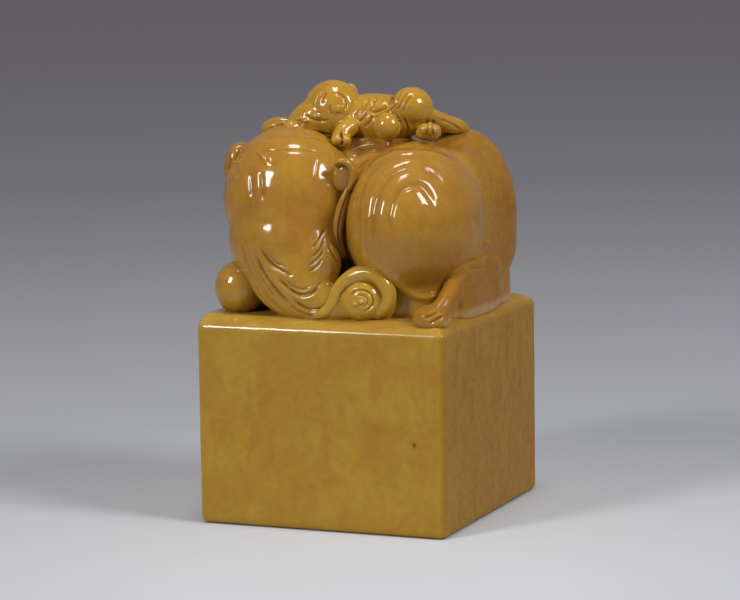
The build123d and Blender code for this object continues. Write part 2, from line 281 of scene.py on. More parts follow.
def amber_stone(name, body, warm, pale, deep, streak_and_side_shade_share, wax, edge_wax):
    """Amber stone in clouds of four tones, with streaks, flecks, darker cuts, a share of wax, and
    painted light and shade.
    """
    finish = Finish(name)
    place = finish.place()

    across, back, height = finish.axes(place)
    on_side_face = across.over(side_face_across)
    at_right = across.over(right_flank_across)
    kept_rim = 1.0 - across.over(right_rim_across) * wax_off_right_rim
    top_rim = height.over(top_rim_up)
    in_carving = height.over(carving_up)
    high_front = height.over(high_front_up) * (1.0 - back.over(rear_back))
    low_right = at_right * (1.0 - high_front) * in_carving
    # Painted light: the low fronts of the carving, under the shoulder, made paler as bounced light
    # would make them
    bounce_lit_low_front = (1.0 - height.over(low_front_up)) * (1.0 - at_right) * in_carving
    far_left = (1.0 - across.over(far_left_across)) * in_carving
    bend = finish.node("ShaderNodeNewGeometry", output="Pointiness")
    in_cuts = 1.0 - bend.between(*cut_bend)
    on_edges = bend.between(*edge_bend)

    clouds = finish.noise(place, size_mm=7.0, detail=4.0, roughness=0.55, distortion=0.6)
    clouds = clouds.between(*cloud_range)
    warmth = finish.stretched(place, scale=(1.0, 1.3, 0.8))
    warmth = finish.noise(warmth, size_mm=4.2, detail=5.0, roughness=0.6, distortion=1.0)
    warmth = warmth.between(*warmth_range)
    mottling = finish.noise(place, size_mm=0.9, detail=4.0, roughness=0.65)
    mottling = mottling.between(*mottling_range)
    streaks = finish.stretched(place, scale=(1.0, 1.0, 0.12))
    streaks = finish.noise(streaks, size_mm=1.3, detail=3.0, roughness=0.6, distortion=0.4)
    streaks = streaks.between(*streak_range)
    fleck_inputs = {
        "Vector": finish.stretched(place, scale=(1.0, 1.0, 0.6)),
        "Scale": metre / fleck_spacing_mm,
        "Randomness": 1.0,
    }
    flecks = finish.node("ShaderNodeTexVoronoi", {"feature": "F1"}, fleck_inputs, output="Distance")
    fleck_choice = finish.noise(place, size_mm=5.0, detail=2.0).between(*fleck_choice_range)
    fleck = (1.0 - flecks.between(*fleck_rim)) * fleck_choice

    colour = finish.blend(body, pale, clouds * pale_in_clouds)
    colour = finish.blend(colour, warm, warmth * warm_in_clouds)
    # painted light: paler low fronts, standing in for light bounced up from the floor
    colour = finish.blend(colour, pale, bounce_lit_low_front * painted_bounce_light_at_low_front)
    streaking = streak_and_side_shade_share * on_side_face * deep_in_side_streaks + deep_in_streaks
    colour = finish.blend(colour, deep, streaks * streaking)
    # painted shade: the block's right side face darkened as its shade would make it; the streaks on
    # it are the stone's own
    darkening = mottling * deep_in_mottling + on_side_face * streak_and_side_shade_share * painted_shade_on_side_face
    # darker low right and far left: partly the stone's own staining and reddish tone, partly
    # painted shade
    darkening = darkening + low_right * stain_and_painted_shade_at_low_right + far_left * red_tone_and_painted_shade_at_far_left
    colour = finish.blend(colour, deep, darkening)
    # painted highlight: edges and ridges made paler, as light catching them would
    colour = finish.blend(colour, pale, on_edges * painted_highlight_on_edges)
    # darker cuts: partly the stone's own staining in recesses, partly painted shade where creases
    # hold shadow
    colour = finish.blend(colour, deep, in_cuts * stain_and_painted_shade_in_cuts)
    colour = finish.blend(colour, fleck_tone, fleck * fleck_share)

    waves = finish.noise(place, size_mm=1.6, detail=2.0)
    grit = finish.noise(place, size_mm=0.16, detail=2.0)
    relief = waves * wave_relief + grit * grit_relief - fleck * fleck_relief
    relief_inputs = {
        "Strength": relief_strength,
        "Distance": relief_height_mm / metre,
        "Height": relief,
    }
    skin_wax = wax * (1.0 - low_right * wax_worn_low_right) * (1.0 - in_cuts * wax_worn_in_cuts)
    rim_wax = (on_edges * wax_on_other_edges + top_rim) * edge_wax * kept_rim
    stone_inputs = {
        "Base Color": colour,
        "Roughness": stone_roughness + mottling * mottled_roughness + in_cuts * cut_roughness,
        "IOR": stone_refraction,
        "Specular IOR Level": stone_shine,
        "Coat Weight": skin_wax + rim_wax,
        "Coat Roughness": wax_roughness,
        "Coat IOR": wax_refraction,
        "Subsurface Weight": glow_share,
        "Subsurface Radius": glow_reach_by_colour,
        "Subsurface Scale": glow_reach_mm / metre,
        "Normal": finish.node("ShaderNodeBump", {}, relief_inputs),
    }
    settings = {"subsurface_method": "RANDOM_WALK"}
    return finish.done(finish.node("ShaderNodeBsdfPrincipled", settings, stone_inputs))


block_finish = amber_stone(
    "satin_block_stone",
    body=shade(164, 127, 48),
    warm=shade(158, 113, 46),
    pale=shade(172, 138, 52),
    deep=shade(104, 64, 27),
    streak_and_side_shade_share=0.4,
    wax=0.0,
    edge_wax=0.8,
)
carved_finish = amber_stone(
    "carved_amber_stone",
    body=shade(160, 114, 34),
    warm=shade(155, 103, 34),
    pale=shade(170, 129, 40),
    deep=shade(90, 44, 21),
    streak_and_side_shade_share=0.1,
    wax=0.9,
    edge_wax=0.1,
)
# Painted light: a lighter copy of the carved stone for the cub and the scroll, as light through
# thin parts would make them glow
painted_glow_finish = amber_stone(
    "amber_stone_painted_lighter",
    body=shade(172, 127, 33),
    warm=shade(166, 115, 33),
    pale=shade(180, 141, 41),
    deep=shade(104, 56, 23),
    streak_and_side_shade_share=0.1,
    wax=0.9,
    edge_wax=0.1,
)
face_finish = amber_stone(
    "inked_face_stone",
    body=shade(150, 100, 40),
    warm=shade(160, 60, 36),
    pale=shade(160, 118, 46),
    deep=shade(104, 34, 24),
    streak_and_side_shade_share=0.15,
    wax=0.1,
    edge_wax=0.3,
)


# Making and shaping pieces

round_fullness = 2.0
roll_fineness = 3
lumps_per_run = 9
stroke_steps = 6
stroke_reach = 3
turned_span = (0.0, 0.25)
taper_span = (-0.02, 0.22)
coil_steps_per_turn = 10
fewest_coil_steps = 4

# The way that the flat side of a roll looks
facing_front = (0, -1, 0)
facing_back = (0, 1, 0)
facing_right = (1, 0, 0)
facing_up = (0, 0, 1)


def deselect():
    bpy.ops.object.select_all(action="DESELECT")


def take(*pieces):
    """Selects these pieces alone, with the first one active."""
    deselect()
    for piece in pieces:
        piece.select_set(True)
    bpy.context.view_layer.objects.active = pieces[0]


def lump(centre, half_sizes, tilt=(0, 0, 0), fineness=5, fullness=round_fullness):
    """An ellipsoid about a centre, tilted in degrees. A fullness over 2 squares it off."""
    deselect()
    turn = [math.radians(angle) for angle in tilt]
    bpy.ops.mesh.primitive_ico_sphere_add(
        subdivisions=fineness, radius=1.0, location=centre, rotation=turn, scale=half_sizes
    )
    form = bpy.context.active_object
    if fullness != round_fullness:
        points, _ = surface_of(form)
        shares = np.abs(points) / np.abs(points).max(0)
        swell = np.sum(shares**fullness, 1) ** (-1 / fullness)
        put_points(form, points * swell[:, None])
    return form


def smooth_line(points, steps):
    """Many points on a smooth line through a few, with this many steps from each to the next."""
    points = np.array(points, float)
    padded = np.vstack((2 * points[0] - points[1], points, 2 * points[-1] - points[-2]))
    line = []
    for first in range(len(points) - 1):
        a, b, c, d = padded[first : first + 4]
        for step in range(steps):
            t = step / steps
            place = 2 * b + (c - a) * t
            place = place + (2 * a - 5 * b + 4 * c - d) * t**2
            place = place + (3 * b - a - 3 * c + d) * t**3
            line.append(0.5 * place)
    line.append(points[-1])
    return np.array(line)


def roll_of_lumps(points, half_widths, half_thicknesses, facing):
    """A limb or lock: overlapping lumps along a smooth line, with a flat side facing one way."""
    line = smooth_line(points, lumps_per_run)
    stations = np.linspace(0, 1, len(half_widths))
    places = np.linspace(0, 1, len(line))
    widths = np.interp(places, stations, half_widths)
    thicknesses = np.interp(places, stations, half_thicknesses)
    forwards = np.gradient(line, axis=0)
    facing = Vector(facing)
    lumps = []
    for place, forward, wide, thick in zip(line, forwards, widths, thicknesses):
        along = Vector(forward).normalized()
        across = along.cross(facing).normalized()
        out = across.cross(along)
        turn = Matrix((across, out, along)).transposed().to_euler()
        sizes = (wide, thick, min(wide, thick))
        deselect()
        bpy.ops.mesh.primitive_ico_sphere_add(
            subdivisions=roll_fineness, radius=1.0, location=place, rotation=turn, scale=sizes
        )
        lumps.append(bpy.context.active_object)
    return lumps


def apply_modifier(piece, kind, **settings):
    take(piece)
    bpy.ops.object.modifier_add(type=kind)
    modifier = piece.modifiers[-1]
    for key, value in settings.items():
        setattr(modifier, key, value)
    bpy.ops.object.modifier_apply(modifier=modifier.name)


def resurface(piece, grain, rounds):
    """Gives a piece one even skin with a grain in millimetres, and smooths it in rounds."""
    apply_modifier(piece, "REMESH", mode="VOXEL", voxel_size=grain, use_smooth_shade=True)
    apply_modifier(piece, "SMOOTH", factor=0.5, iterations=rounds)


def clay(name, lumps, grain, rounding, blending=0.0, blending_rounds=0):
    """One closed piece from overlapping lumps, with soft joins where blending is given."""
    piece = lumps[0]
    take(*lumps)
    if len(lumps) > 1:
        bpy.ops.object.join()
    bpy.ops.object.transform_apply(location=True, rotation=True, scale=True)
    piece.name = name
    piece.data.name = name
    if blending:
        resurface(piece, blending, blending_rounds)
    resurface(piece, grain, rounding)
    return piece


def surface_of(piece):
    """The piece's points and their outward directions, in millimetres."""
    count = len(piece.data.vertices)
    points = np.empty(count * 3, np.float32)
    piece.data.vertices.foreach_get("co", points)
    normals = np.empty(count * 3, np.float32)
    piece.data.vertex_normals.foreach_get("vector", normals)
    return points.reshape(-1, 3).astype(float), normals.reshape(-1, 3).astype(float)


def put_points(piece, points):
    piece.data.vertices.foreach_set("co", points.astype(np.float32).ravel())
    piece.data.update()


# The sides from which strokes are drawn


def in_photo(points, normals):
    """Places as the photograph shows them, in flat millimetres, and how far each looks that way."""
    away = points - eye
    depth = -(away @ sight_back)
    across = photo_width / 2 + sight_length * (away @ sight_right) / depth
    down = photo_height / 2 - sight_length * (away @ sight_up) / depth
    towards = -away / np.linalg.norm(away, axis=1)[:, None]
    return np.stack((across, down), 1) / pixels_per_mm, np.sum(normals * towards, 1)


def from_left(points, normals):
    return points[:, (1, 2)], -normals[:, 0]


def from_back(points, normals):
    return points[:, (0, 2)], normals[:, 1]


def sight_point(across, down, setback):
    """The point that the photograph shows at a pixel, if it lies this far along the y axis."""
    ray = (
        sight_right * (across - photo_width / 2) / sight_length
        - sight_up * (down - photo_height / 2) / sight_length
        - sight_back
    )
    return eye + ray * (setback - eye[1]) / ray[1]


def sight_line(marks):
    return [sight_point(*mark) for mark in marks]


def rise(values, low, high):
    """0 below low, 1 above high, smooth between."""
    t = np.clip((values - low) / (high - low), 0, 1)
    return t * t * (3 - 2 * t)


def along_line(flat, line):
    """For flat points, the distance to a line, and how far along it they lie, from 0 to 1."""
    best = np.full(len(flat), np.inf)
    share = np.zeros(len(flat))
    lengths = np.linalg.norm(np.diff(line, axis=0), axis=1)
    whole = lengths.sum()
    passed = 0.0
    for start, end, length in zip(line[:-1], line[1:], lengths):
        run = end - start
        t = np.clip((flat - start) @ run / length**2, 0, 1)
        off = flat - start - t[:, None] * run
        distance = np.hypot(off[:, 0], off[:, 1])
        nearer = distance < best
        best[nearer] = distance[nearer]
        share[nearer] = (passed + t[nearer] * length) / whole
        passed += length
    return best, share


def carve(piece, view, strokes):
    """Cuts or raises strokes on a piece, as seen from one side.

    A stroke is (form, half width, depth, points). The form is a groove or a ridge. The points are
    pixels where the side is the photograph's, and millimetres elsewhere.
    """
    points, normals = surface_of(piece)
    flat, facing = view(points, normals)
    unit = pixels_per_mm if view is in_photo else 1.0
    turned_here = rise(facing, *turned_span)
    change = np.zeros(len(points))
    for form, width, depth, marks in strokes:
        line = smooth_line(np.array(marks, float) / unit, stroke_steps)
        low = line.min(0) - width * stroke_reach
        high = line.max(0) + width * stroke_reach
        near = np.where(np.all((flat > low) & (flat < high), axis=1) & (turned_here > 0))[0]
        distance, share = along_line(flat[near], line)
        taper = rise(share, *taper_span) * rise(1 - share, *taper_span)
        lift = depth if form == "ridge" else -depth
        change[near] += lift * np.exp(-((distance / width) ** 2)) * taper * turned_here[near]
    put_points(piece, points + normals * change[:, None])


def coil(centre, start_radius, end_radius, turns, start_turn, squeeze=1.0):
    """Marks along a coil, from its inner end out. Turns under 0 wind it the other way."""
    count = max(fewest_coil_steps, round(abs(turns) * coil_steps_per_turn))
    marks = []
    for step in range(count + 1):
        share = step / count
        reach = start_radius + (end_radius - start_radius) * share
        angle = math.radians(start_turn) + 2 * math.pi * turns * share
        across = centre[0] + reach * math.cos(angle)
        marks.append((across, centre[1] + squeeze * reach * math.sin(angle)))
    return marks


def finished(piece, finish, slot, *nodes):
    """Brings a piece to metres and hands it to the frame."""
    take(piece)
    piece.scale = (1 / metre, 1 / metre, 1 / metre)
    bpy.ops.object.transform_apply(location=True, rotation=True, scale=True)
    piece.data.materials.clear()
    piece.data.materials.append(finish)
    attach(piece, "root")
    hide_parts(*nodes)


# The square block, ground flat by hand, with a shallow pocket below for the stamping face

block_grain = 0.24
block_rounding = 2
edge_round = 0.7
edge_segments = 4
straight_down = -0.999
least_underside = 100
pocket_border = 1.5
pocket_depth = 0.9
hand_wave = 0.035
wave_heights = 2.6
top_swell = 0.75
top_swell_from_edge = (0.1, 2.4)
left_swell = 0.85
left_swell_left = (9.0, 13.0)
left_swell_back = (block_low[1] + 0.3, block_low[1] + 1.8)
swell_up = (block_top - 1.0, block_top - 0.2)
weld_reach_m = 1e-6


def hand_ground(points):
    """Slow waves that grinding by hand leaves, from -1 to 1."""
    across, back, up = points.T
    waves = (
        np.sin(across * 0.55 + 1.0) * np.sin(up * 0.47 + 0.3)
        + np.sin(back * 0.51 + 2.0) * np.sin(up * 0.39 + 1.7)
        + 0.6 * np.sin(across * 1.3 + up * 0.9)
    )
    return waves / wave_heights


def square_block():
    deselect()
    low = (block_low[0], block_low[1], face_low[2])
    middle = [(a + b) / 2 for a, b in zip(low, block_high)]
    sizes = [b - a for a, b in zip(low, block_high)]
    bpy.ops.mesh.primitive_cube_add(size=1.0, location=middle, scale=sizes)
    block = bpy.context.active_object
    bpy.ops.object.transform_apply(location=True, rotation=True, scale=True)
    block.name = "square_block"
    block.data.name = "square_block"
    bpy.ops.object.mode_set(mode="EDIT")
    bpy.ops.mesh.select_all(action="SELECT")
    bpy.ops.mesh.bevel(offset=edge_round, segments=edge_segments, profile=0.5, affect="EDGES")
    mesh = bmesh.from_edit_mesh(block.data)
    for face in mesh.faces:
        face.select = face.normal.z < straight_down and face.calc_area() > least_underside
    bmesh.update_edit_mesh(block.data)
    bpy.ops.mesh.inset(thickness=pocket_border - edge_round, depth=0)
    bpy.ops.mesh.extrude_region_move(TRANSFORM_OT_translate={"value": (0, 0, pocket_depth)})
    bpy.ops.object.mode_set(mode="OBJECT")
    resurface(block, block_grain, block_rounding)
    points, normals = surface_of(block)
    points = points + normals * (hand_wave * (hand_ground(points) - 0.5))[:, None]
    from_edge = np.minimum.reduce(
        (
            points[:, 0] - block_low[0],
            block_high[0] - points[:, 0],
            points[:, 1] - block_low[1],
            block_high[1] - points[:, 1],
        )
    )
    on_top = rise(points[:, 2], *swell_up)
    inside = rise(from_edge, *top_swell_from_edge)
    at_left = rise(-points[:, 0], *left_swell_left) * rise(points[:, 1], *left_swell_back)
    points[:, 2] += on_top * np.maximum(top_swell * inside, left_swell * at_left)
    put_points(block, points)
    finished(block, block_finish, "block_stone", "seal_block")


def stamping_face():
    """The face in relief, taken from the frame's slab within the block's border."""
    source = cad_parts["seal_face"]
    piece = bpy.data.objects.new("stamping_face", source.data.copy())
    bpy.context.scene.collection.objects.link(piece)
    mesh = bmesh.new()
    mesh.from_mesh(piece.data)
    bmesh.ops.remove_doubles(mesh, verts=mesh.verts, dist=weld_reach_m)
    reach_x = (block_high[0] - pocket_border) / metre
    reach_y = (block_high[1] - pocket_border) / metre
    for place, way in (
        ((reach_x, 0, 0), (1, 0, 0)),
        ((-reach_x, 0, 0), (-1, 0, 0)),
        ((0, reach_y, 0), (0, 1, 0)),
        ((0, -reach_y, 0), (0, -1, 0)),
    ):
        everything = mesh.verts[:] + mesh.edges[:] + mesh.faces[:]
        cut = bmesh.ops.bisect_plane(
            mesh, geom=everything, plane_co=place, plane_no=way, clear_outer=True
        )
        rim = [edge for edge in cut["geom_cut"] if isinstance(edge, bmesh.types.BMEdge)]
        bmesh.ops.holes_fill(mesh, edges=rim, sides=0)
    bmesh.ops.recalc_face_normals(mesh, faces=mesh.faces)
    mesh.to_mesh(piece.data)
    mesh.free()
    piece.data.materials.clear()
    piece.data.materials.append(face_finish)
    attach(piece, "root")
    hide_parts("seal_face")


square_block()
stamping_face()


# Forms that are placed by the photograph: across, down, and how far along the y axis

right_ear_rim = [
    (336, 164, -10.0),
    (341, 161, -10.2),
    (348, 163, -10.0),
    (353, 170, -9.6),
    (353.5, 179, -9.4),
    (350, 188, -9.4),
]
mane_lock_line = [
    (351, 186, -8.8),
    (346, 198, -9.0),
    (341.5, 211, -9.0),
    (338.5, 226, -9.0),
    (338.5, 240, -8.8),
    (343, 256, -8.4),
]
foreleg_line = [
    (480, 258, 0.0),
    (470, 268, -3.0),
    (461, 277, -5.8),
    (454, 288, -8.4),
    (448, 300, -10.6),
    (440, 312, -12.2),
]
sweep_into_scroll = [
    (317, 315, -13.4),
    (327, 311, -13.3),
    (334, 302, -13.1),
    (339, 291, -12.9),
    (346, 281.5, -12.8),
    (356, 275, -12.7),
    (367, 273, -12.6),
    (378, 276, -12.6),
    (386, 285, -12.6),
    (389, 296, -12.6),
    (386, 307, -12.6),
    (378, 315, -12.6),
]
cub_forearm_line = [
    (357, 121, -2.4),
    (350, 127, -3.4),
    (344, 132, -4.3),
    (340, 137, -5.0),
]


# Strokes cut with the graver, laid out in the photograph's pixels

shoulder_strokes = [
    ("groove", 0.35, 0.16, [
        (355, 150), (375, 143), (400, 141), (430, 142), (455, 147), (472, 156),
    ]),
    ("groove", 0.40, 0.24, [
        (350, 165), (365, 155), (385, 147), (410, 146), (435, 148), (458, 158), (470, 172),
    ]),
    ("groove", 0.34, 0.30, [
        (361, 262), (357, 235), (357, 205), (364, 180), (378, 164), (400, 155), (425, 155),
        (446, 163), (462, 182),
    ]),
    ("groove", 0.42, 0.30, [
        (377, 258), (373, 232), (374, 208), (380, 190), (390, 176), (404, 168), (421, 168),
        (436, 176), (450, 196),
    ]),
    ("groove", 0.42, 0.26, [
        (392, 240), (389, 222), (392, 204), (400, 191), (412, 185), (424, 188), (438, 210),
    ]),
    ("ridge", 0.45, 0.35, [(380, 264), (393, 279), (407, 291), (420, 297), (434, 297), (444, 291)]),
    ("ridge", 0.40, 0.40, [(488, 236), (485, 244), (480, 254), (473, 262)]),
    ("groove", 0.40, 0.12, [(358, 196), (355, 220), (355, 245), (362, 268)]),
    ("groove", 0.30, 0.10, [(366, 215), (364, 245), (369, 270)]),
    ("groove", 0.28, 0.55, [(471, 281), (472, 285)]),
    ("groove", 0.50, 0.70, [(350, 160), (360, 151), (374, 145), (392, 142)]),
    ("groove", 0.30, 0.35, [(354, 172), (364, 160), (378, 152), (394, 148)]),
    ("groove", 0.22, 0.30, [(347, 148), (358, 143), (372, 139), (386, 138)]),
]
head_strokes = [
    ("groove", 0.14, 0.10, [(255, 152), (270, 150.5), (290, 150), (325, 152)]),
    ("groove", 0.22, 0.16, [(250, 172), (251, 185), (252, 199)]),
    ("groove", 0.22, 0.16, [(261, 171), (262, 185), (263, 201)]),
    ("groove", 0.12, 0.08, [(318, 158), (317, 168), (315, 178), (312, 190)]),
    ("ridge", 0.14, 0.12, [(257, 150), (262, 157), (266, 164)]),
    ("ridge", 0.14, 0.12, [(261, 153), (265, 159), (269, 165)]),
    ("ridge", 0.14, 0.12, [(268, 157), (270, 161), (271, 165)]),
    ("groove", 0.30, 0.30, [(236, 178), (235, 165), (238, 155), (244, 147)]),
    ("groove", 0.30, 0.22, [(250, 143), (265, 137), (290, 134), (315, 136), (335, 143)]),
]
beard_strokes = [
    ("groove", 0.20, 0.34, [
        (240, 236), (242, 250), (246, 266), (252, 283), (260, 298), (269, 309), (281, 318),
    ]),
    ("groove", 0.20, 0.34, [
        (247, 245), (250, 260), (256, 277), (264, 292), (273, 304), (285, 314),
    ]),
    ("groove", 0.20, 0.34, [
        (254, 250), (258, 262), (265, 276), (274, 288), (284, 299), (296, 309),
    ]),
    ("groove", 0.16, 0.20, [
        (243, 240), (245, 252), (250, 268), (257, 284), (266, 298), (277, 310),
    ]),
    ("groove", 0.16, 0.20, [(251, 250), (254, 263), (260, 276), (268, 289), (278, 300)]),
    ("groove", 0.20, 0.34, [(260, 246), (265, 256), (273, 265), (283, 271), (293, 276)]),
    ("groove", 0.14, 0.18, [(264, 247), (269, 256), (277, 263), (287, 268)]),
    ("groove", 0.20, 0.34, [
        (276, 276), (284, 284), (294, 292), (304, 295), (315, 290), (322, 280),
    ]),
    ("groove", 0.14, 0.18, [(284, 278), (293, 286), (303, 289), (312, 285)]),
    ("groove", 0.20, 0.34, [
        (290, 296), (300, 305), (312, 310), (323, 307), (330, 298), (336, 286),
    ]),
    ("groove", 0.14, 0.18, [(288, 304), (300, 312), (313, 316), (325, 313)]),
    ("groove", 0.14, 0.22, [(325, 228), (320, 238), (311, 249)]),
    ("groove", 0.14, 0.22, [(325, 235), (321, 247), (311, 258)]),
    ("groove", 0.14, 0.22, [(325, 246), (319, 257), (308, 266)]),
    ("groove", 0.14, 0.20, [(323, 257), (317, 266), (307, 272)]),
    ("groove", 0.14, 0.18, [(328, 242), (333, 253), (340, 264)]),
    ("groove", 0.14, 0.18, [(332, 240), (338, 251), (344, 261)]),
]
scroll_strokes = [
    ("groove", 0.12, 0.16, [
        (338, 303), (342, 293), (350, 285), (360, 281.5), (370, 283), (378, 290), (381, 299),
        (378, 308),
    ]),
    ("groove", 0.12, 0.24, [
        (348, 303), (351, 294), (358, 290), (367, 291), (373, 297), (373, 304), (368, 310),
        (360, 312),
    ]),
    ("groove", 0.10, 0.14, [(356, 296), (362, 295), (367, 299), (367, 304), (363, 308)]),
    ("ridge", 0.28, 0.30, [(354, 306), (356, 303)]),
    ("ridge", 0.28, 0.30, [(360, 301), (362, 304)]),
]
lock_strokes = [
    ("groove", 0.12, 0.16, [
        (351, 190), (346, 200), (342, 212), (339, 227), (339.5, 241), (343, 253),
    ]),
]
cub_head_strokes = [
    ("groove", 0.15, 0.20, [(335, 96), (340, 94), (345, 98), (347, 105), (345, 112)]),
    ("ridge", 0.34, 0.40, [(339, 105), (338.5, 109), (337.5, 113)]),
    ("groove", 0.13, 0.16, [(331, 104), (330, 110), (333, 116)]),
    ("groove", 0.14, 0.20, [(304, 113), (311, 118), (320, 121), (330, 120)]),
    ("groove", 0.16, 0.26, [(300, 133), (310, 132), (321, 134), (333, 136)]),
    ("ridge", 0.18, 0.24, [(296, 119), (299, 119), (303, 118)]),
    ("ridge", 0.18, 0.24, [(303, 122), (306, 120.5), (310, 121)]),
    ("ridge", 0.18, 0.20, [(315, 117), (318, 116), (321, 117)]),
    ("groove", 0.12, 0.16, [(322, 92), (318, 99), (316, 106)]),
    ("groove", 0.12, 0.16, [(327, 90), (324, 97), (322, 104)]),
    ("groove", 0.14, 0.45, [(341, 130), (341.5, 138), (342, 148)]),
]
cub_body_strokes = [
    ("groove", 0.16, 0.2, [(364, 102), (360, 110), (354, 117)]),
    ("groove", 0.16, 0.2, [(368, 112), (362, 119), (356, 123)]),
    ("groove", 0.16, 0.2, [(374, 114), (369, 122), (364, 128)]),
    ("groove", 0.20, 0.3, [(366, 112), (377, 111), (388, 105), (393, 95), (398, 87)]),
    ("groove", 0.14, 0.2, [(386, 112), (394, 106), (398, 97), (402, 90)]),
    ("groove", 0.14, 0.2, [(395, 112), (400, 104), (403, 97), (408, 91)]),
    ("groove", 0.14, 0.2, [(401, 114), (405, 106), (408, 99), (413, 95)]),
    ("groove", 0.18, 0.3, [
        (374, 128), (376, 118), (383, 113), (391, 112), (398, 117), (400, 127), (397, 136),
    ]),
    ("groove", 0.14, 0.2, [(403, 117), (407, 123), (408, 130), (405, 137)]),
    ("groove", 0.14, 0.2, [(369, 94), (366, 104), (360, 114), (352, 124)]),
    ("groove", 0.14, 0.2, [(376, 96), (373, 105), (367, 113)]),
    ("groove", 0.12, 0.22, [(427.5, 119), (427, 128), (426.5, 138)]),
    ("groove", 0.12, 0.22, [(433, 119), (433, 128), (433.5, 138)]),
    ("groove", 0.14, 0.18, [(436, 113), (446, 115), (455, 119), (463, 126)]),
    ("groove", 0.14, 0.18, [(438, 119), (446, 121), (454, 125), (461, 131)]),
]
curl_strokes = [
    ("groove", 0.14, 0.18, [(264, 127), (273, 121), (284, 119), (294, 121)]),
    ("groove", 0.14, 0.18, [(266, 131), (275, 126), (286, 124), (295, 126)]),
]
left_ear_strokes = [
    ("groove", 0.3, 0.3, [(241, 146), (238, 156), (238, 170)]),
    ("groove", 0.14, 0.16, [(231, 158), (229, 165), (230, 172)]),
]
foreleg_strokes = [
    ("groove", 0.16, 0.2, [(424, 319), (431, 315), (439, 311)]),
    ("groove", 0.16, 0.2, [(428, 325), (436, 320), (444, 316)]),
    ("groove", 0.25, 0.2, [(467, 266), (476, 268), (484, 266), (489, 258)]),
    ("groove", 0.30, 0.25, [(470, 274), (464, 287), (461, 300), (459, 316)]),
]
hind_paw_strokes = [
    ("groove", 0.12, 0.1, [(485, 294), (495, 293), (507, 290)]),
    ("groove", 0.12, 0.1, [(486, 308), (497, 306), (508, 301)]),
]


# Strokes on the sides that the photograph doesn't show, in millimetres

crescent_spread = 1.06
crescent_tallness = 1.15


def crescents(centre, reaches, start_turn, turns, width, depth):
    """Nested curved cuts about a centre, as on the right shoulder."""
    strokes = []
    for reach in reaches:
        marks = coil(centre, reach, reach * crescent_spread, turns, start_turn, crescent_tallness)
        strokes.append(("groove", width, depth, marks))
    return strokes


left_haunch_crescents = crescents(
    (7.2, 33.6), (2.2, 3.6, 5.0, 6.4), start_turn=10, turns=0.46, width=0.36, depth=0.26
)
left_shoulder_crescents = crescents(
    (-1.4, 35.0), (2.0, 3.3, 4.6), start_turn=30, turns=0.42, width=0.34, depth=0.24
)
right_haunch_crescents = crescents(
    (9.2, 34.4), (1.9, 3.1, 4.3), start_turn=20, turns=0.42, width=0.34, depth=0.24
)
head_side_strokes = [
    ("groove", 0.24, 0.26, [(-6.5, 38.6), (-4.6, 38.2), (-3.0, 36.8), (-2.0, 34.8)]),
    ("groove", 0.24, 0.26, [(-6.9, 36.8), (-5.0, 36.4), (-3.6, 35.0), (-2.8, 33.0)]),
    ("groove", 0.24, 0.26, [(-7.2, 35.0), (-5.6, 34.6), (-4.4, 33.2), (-3.8, 31.4)]),
    ("groove", 0.24, 0.26, [(-7.4, 33.2), (-6.2, 32.8), (-5.2, 31.6), (-4.8, 30.2)]),
]
ear_hollow_strokes = [
    ("groove", 0.50, 0.55, [(-6.9, 42.4), (-6.4, 41.2), (-6.3, 39.8), (-6.8, 38.4)]),
    ("groove", 0.16, 0.20, [(-5.0, 41.8), (-4.9, 40.4), (-5.3, 39.0)]),
]
cub_back_strokes = [
    ("groove", 0.16, 0.20, [(-0.6, 44.6), (0.2, 46.0), (0.1, 47.6)]),
    ("groove", 0.16, 0.20, [(0.6, 44.4), (1.4, 45.9), (1.3, 47.6)]),
    ("groove", 0.16, 0.20, [(1.9, 44.4), (2.6, 45.9), (2.5, 47.4)]),
]
mane_strokes = [
    ("groove", 0.26, 0.22, [(-4.6, 43.2), (-1.6, 44.0), (1.6, 43.4), (4.0, 41.4)]),
    ("groove", 0.26, 0.22, [(-4.4, 42.0), (-1.6, 42.9), (1.2, 42.2), (3.2, 40.4)]),
    ("groove", 0.26, 0.22, [(-4.2, 40.8), (-1.8, 41.6), (0.6, 41.0), (2.2, 39.4)]),
]
tail_strokes = [
    ("groove", 0.22, 0.32, [(0.45, 40.0), (0.05, 37.0), (0.05, 33.0), (0.1, 28.8)]),
    ("groove", 0.22, 0.32, [(1.0, 40.4), (0.75, 37.0), (0.85, 33.0), (1.0, 28.6)]),
    ("groove", 0.22, 0.32, [(1.5, 40.0), (1.4, 37.0), (1.6, 33.0), (1.9, 28.8)]),
]


# The beast's masses


def beast_body():
    lumps = [
        lump((2.8, 3.0, 32.9), (11.0, 11.0, 10.6), fineness=6),  # torso
        lump((0.05, -0.5, 39.2), (10.5, 5.2, 4.9), fineness=6),  # neck
        lump((-7.43, -1.18, 34.38), (6.6, 7.4, 9.4), fineness=6),  # left shoulder
        lump((-8.2, 7.95, 33.2), (6.0, 7.3, 9.6), fineness=6, fullness=2.3),  # left haunch
        lump((8.63, 7.73, 33.55), (6.3, 7.5, 10.5), fineness=6),  # right haunch
        lump((7.53, -4.26, 33.96), (7.45, 10.6, 9.3), fineness=6),  # right shoulder
        lump((10.0, 2.6, 33.4), (4.5, 8.8, 8.9), fineness=6, fullness=2.4),  # flank
        lump((11.7, 8.4, 30.4), (3.1, 4.7, 4.8)),  # foot of the right haunch
        lump(sight_point(448, 140, 6.0), (3.4, 3.4, 1.8)),  # top of the right haunch
        lump((7.6, -6.0, 24.6), (6.4, 5.0, 2.7), fullness=3.0),  # stone left below the shoulder
    ]
    body = clay("beast_body", lumps, grain=0.2, rounding=2, blending=0.8, blending_rounds=9)
    carve(body, in_photo, shoulder_strokes)
    carve(body, from_left, left_haunch_crescents + left_shoulder_crescents + mane_strokes)
    carve(body, from_back, right_haunch_crescents)
    nodes = ("torso", "neck", "left_shoulder", "left_haunch", "right_haunch", "right_shoulder")
    finished(body, carved_finish, "carved_stone", *nodes)


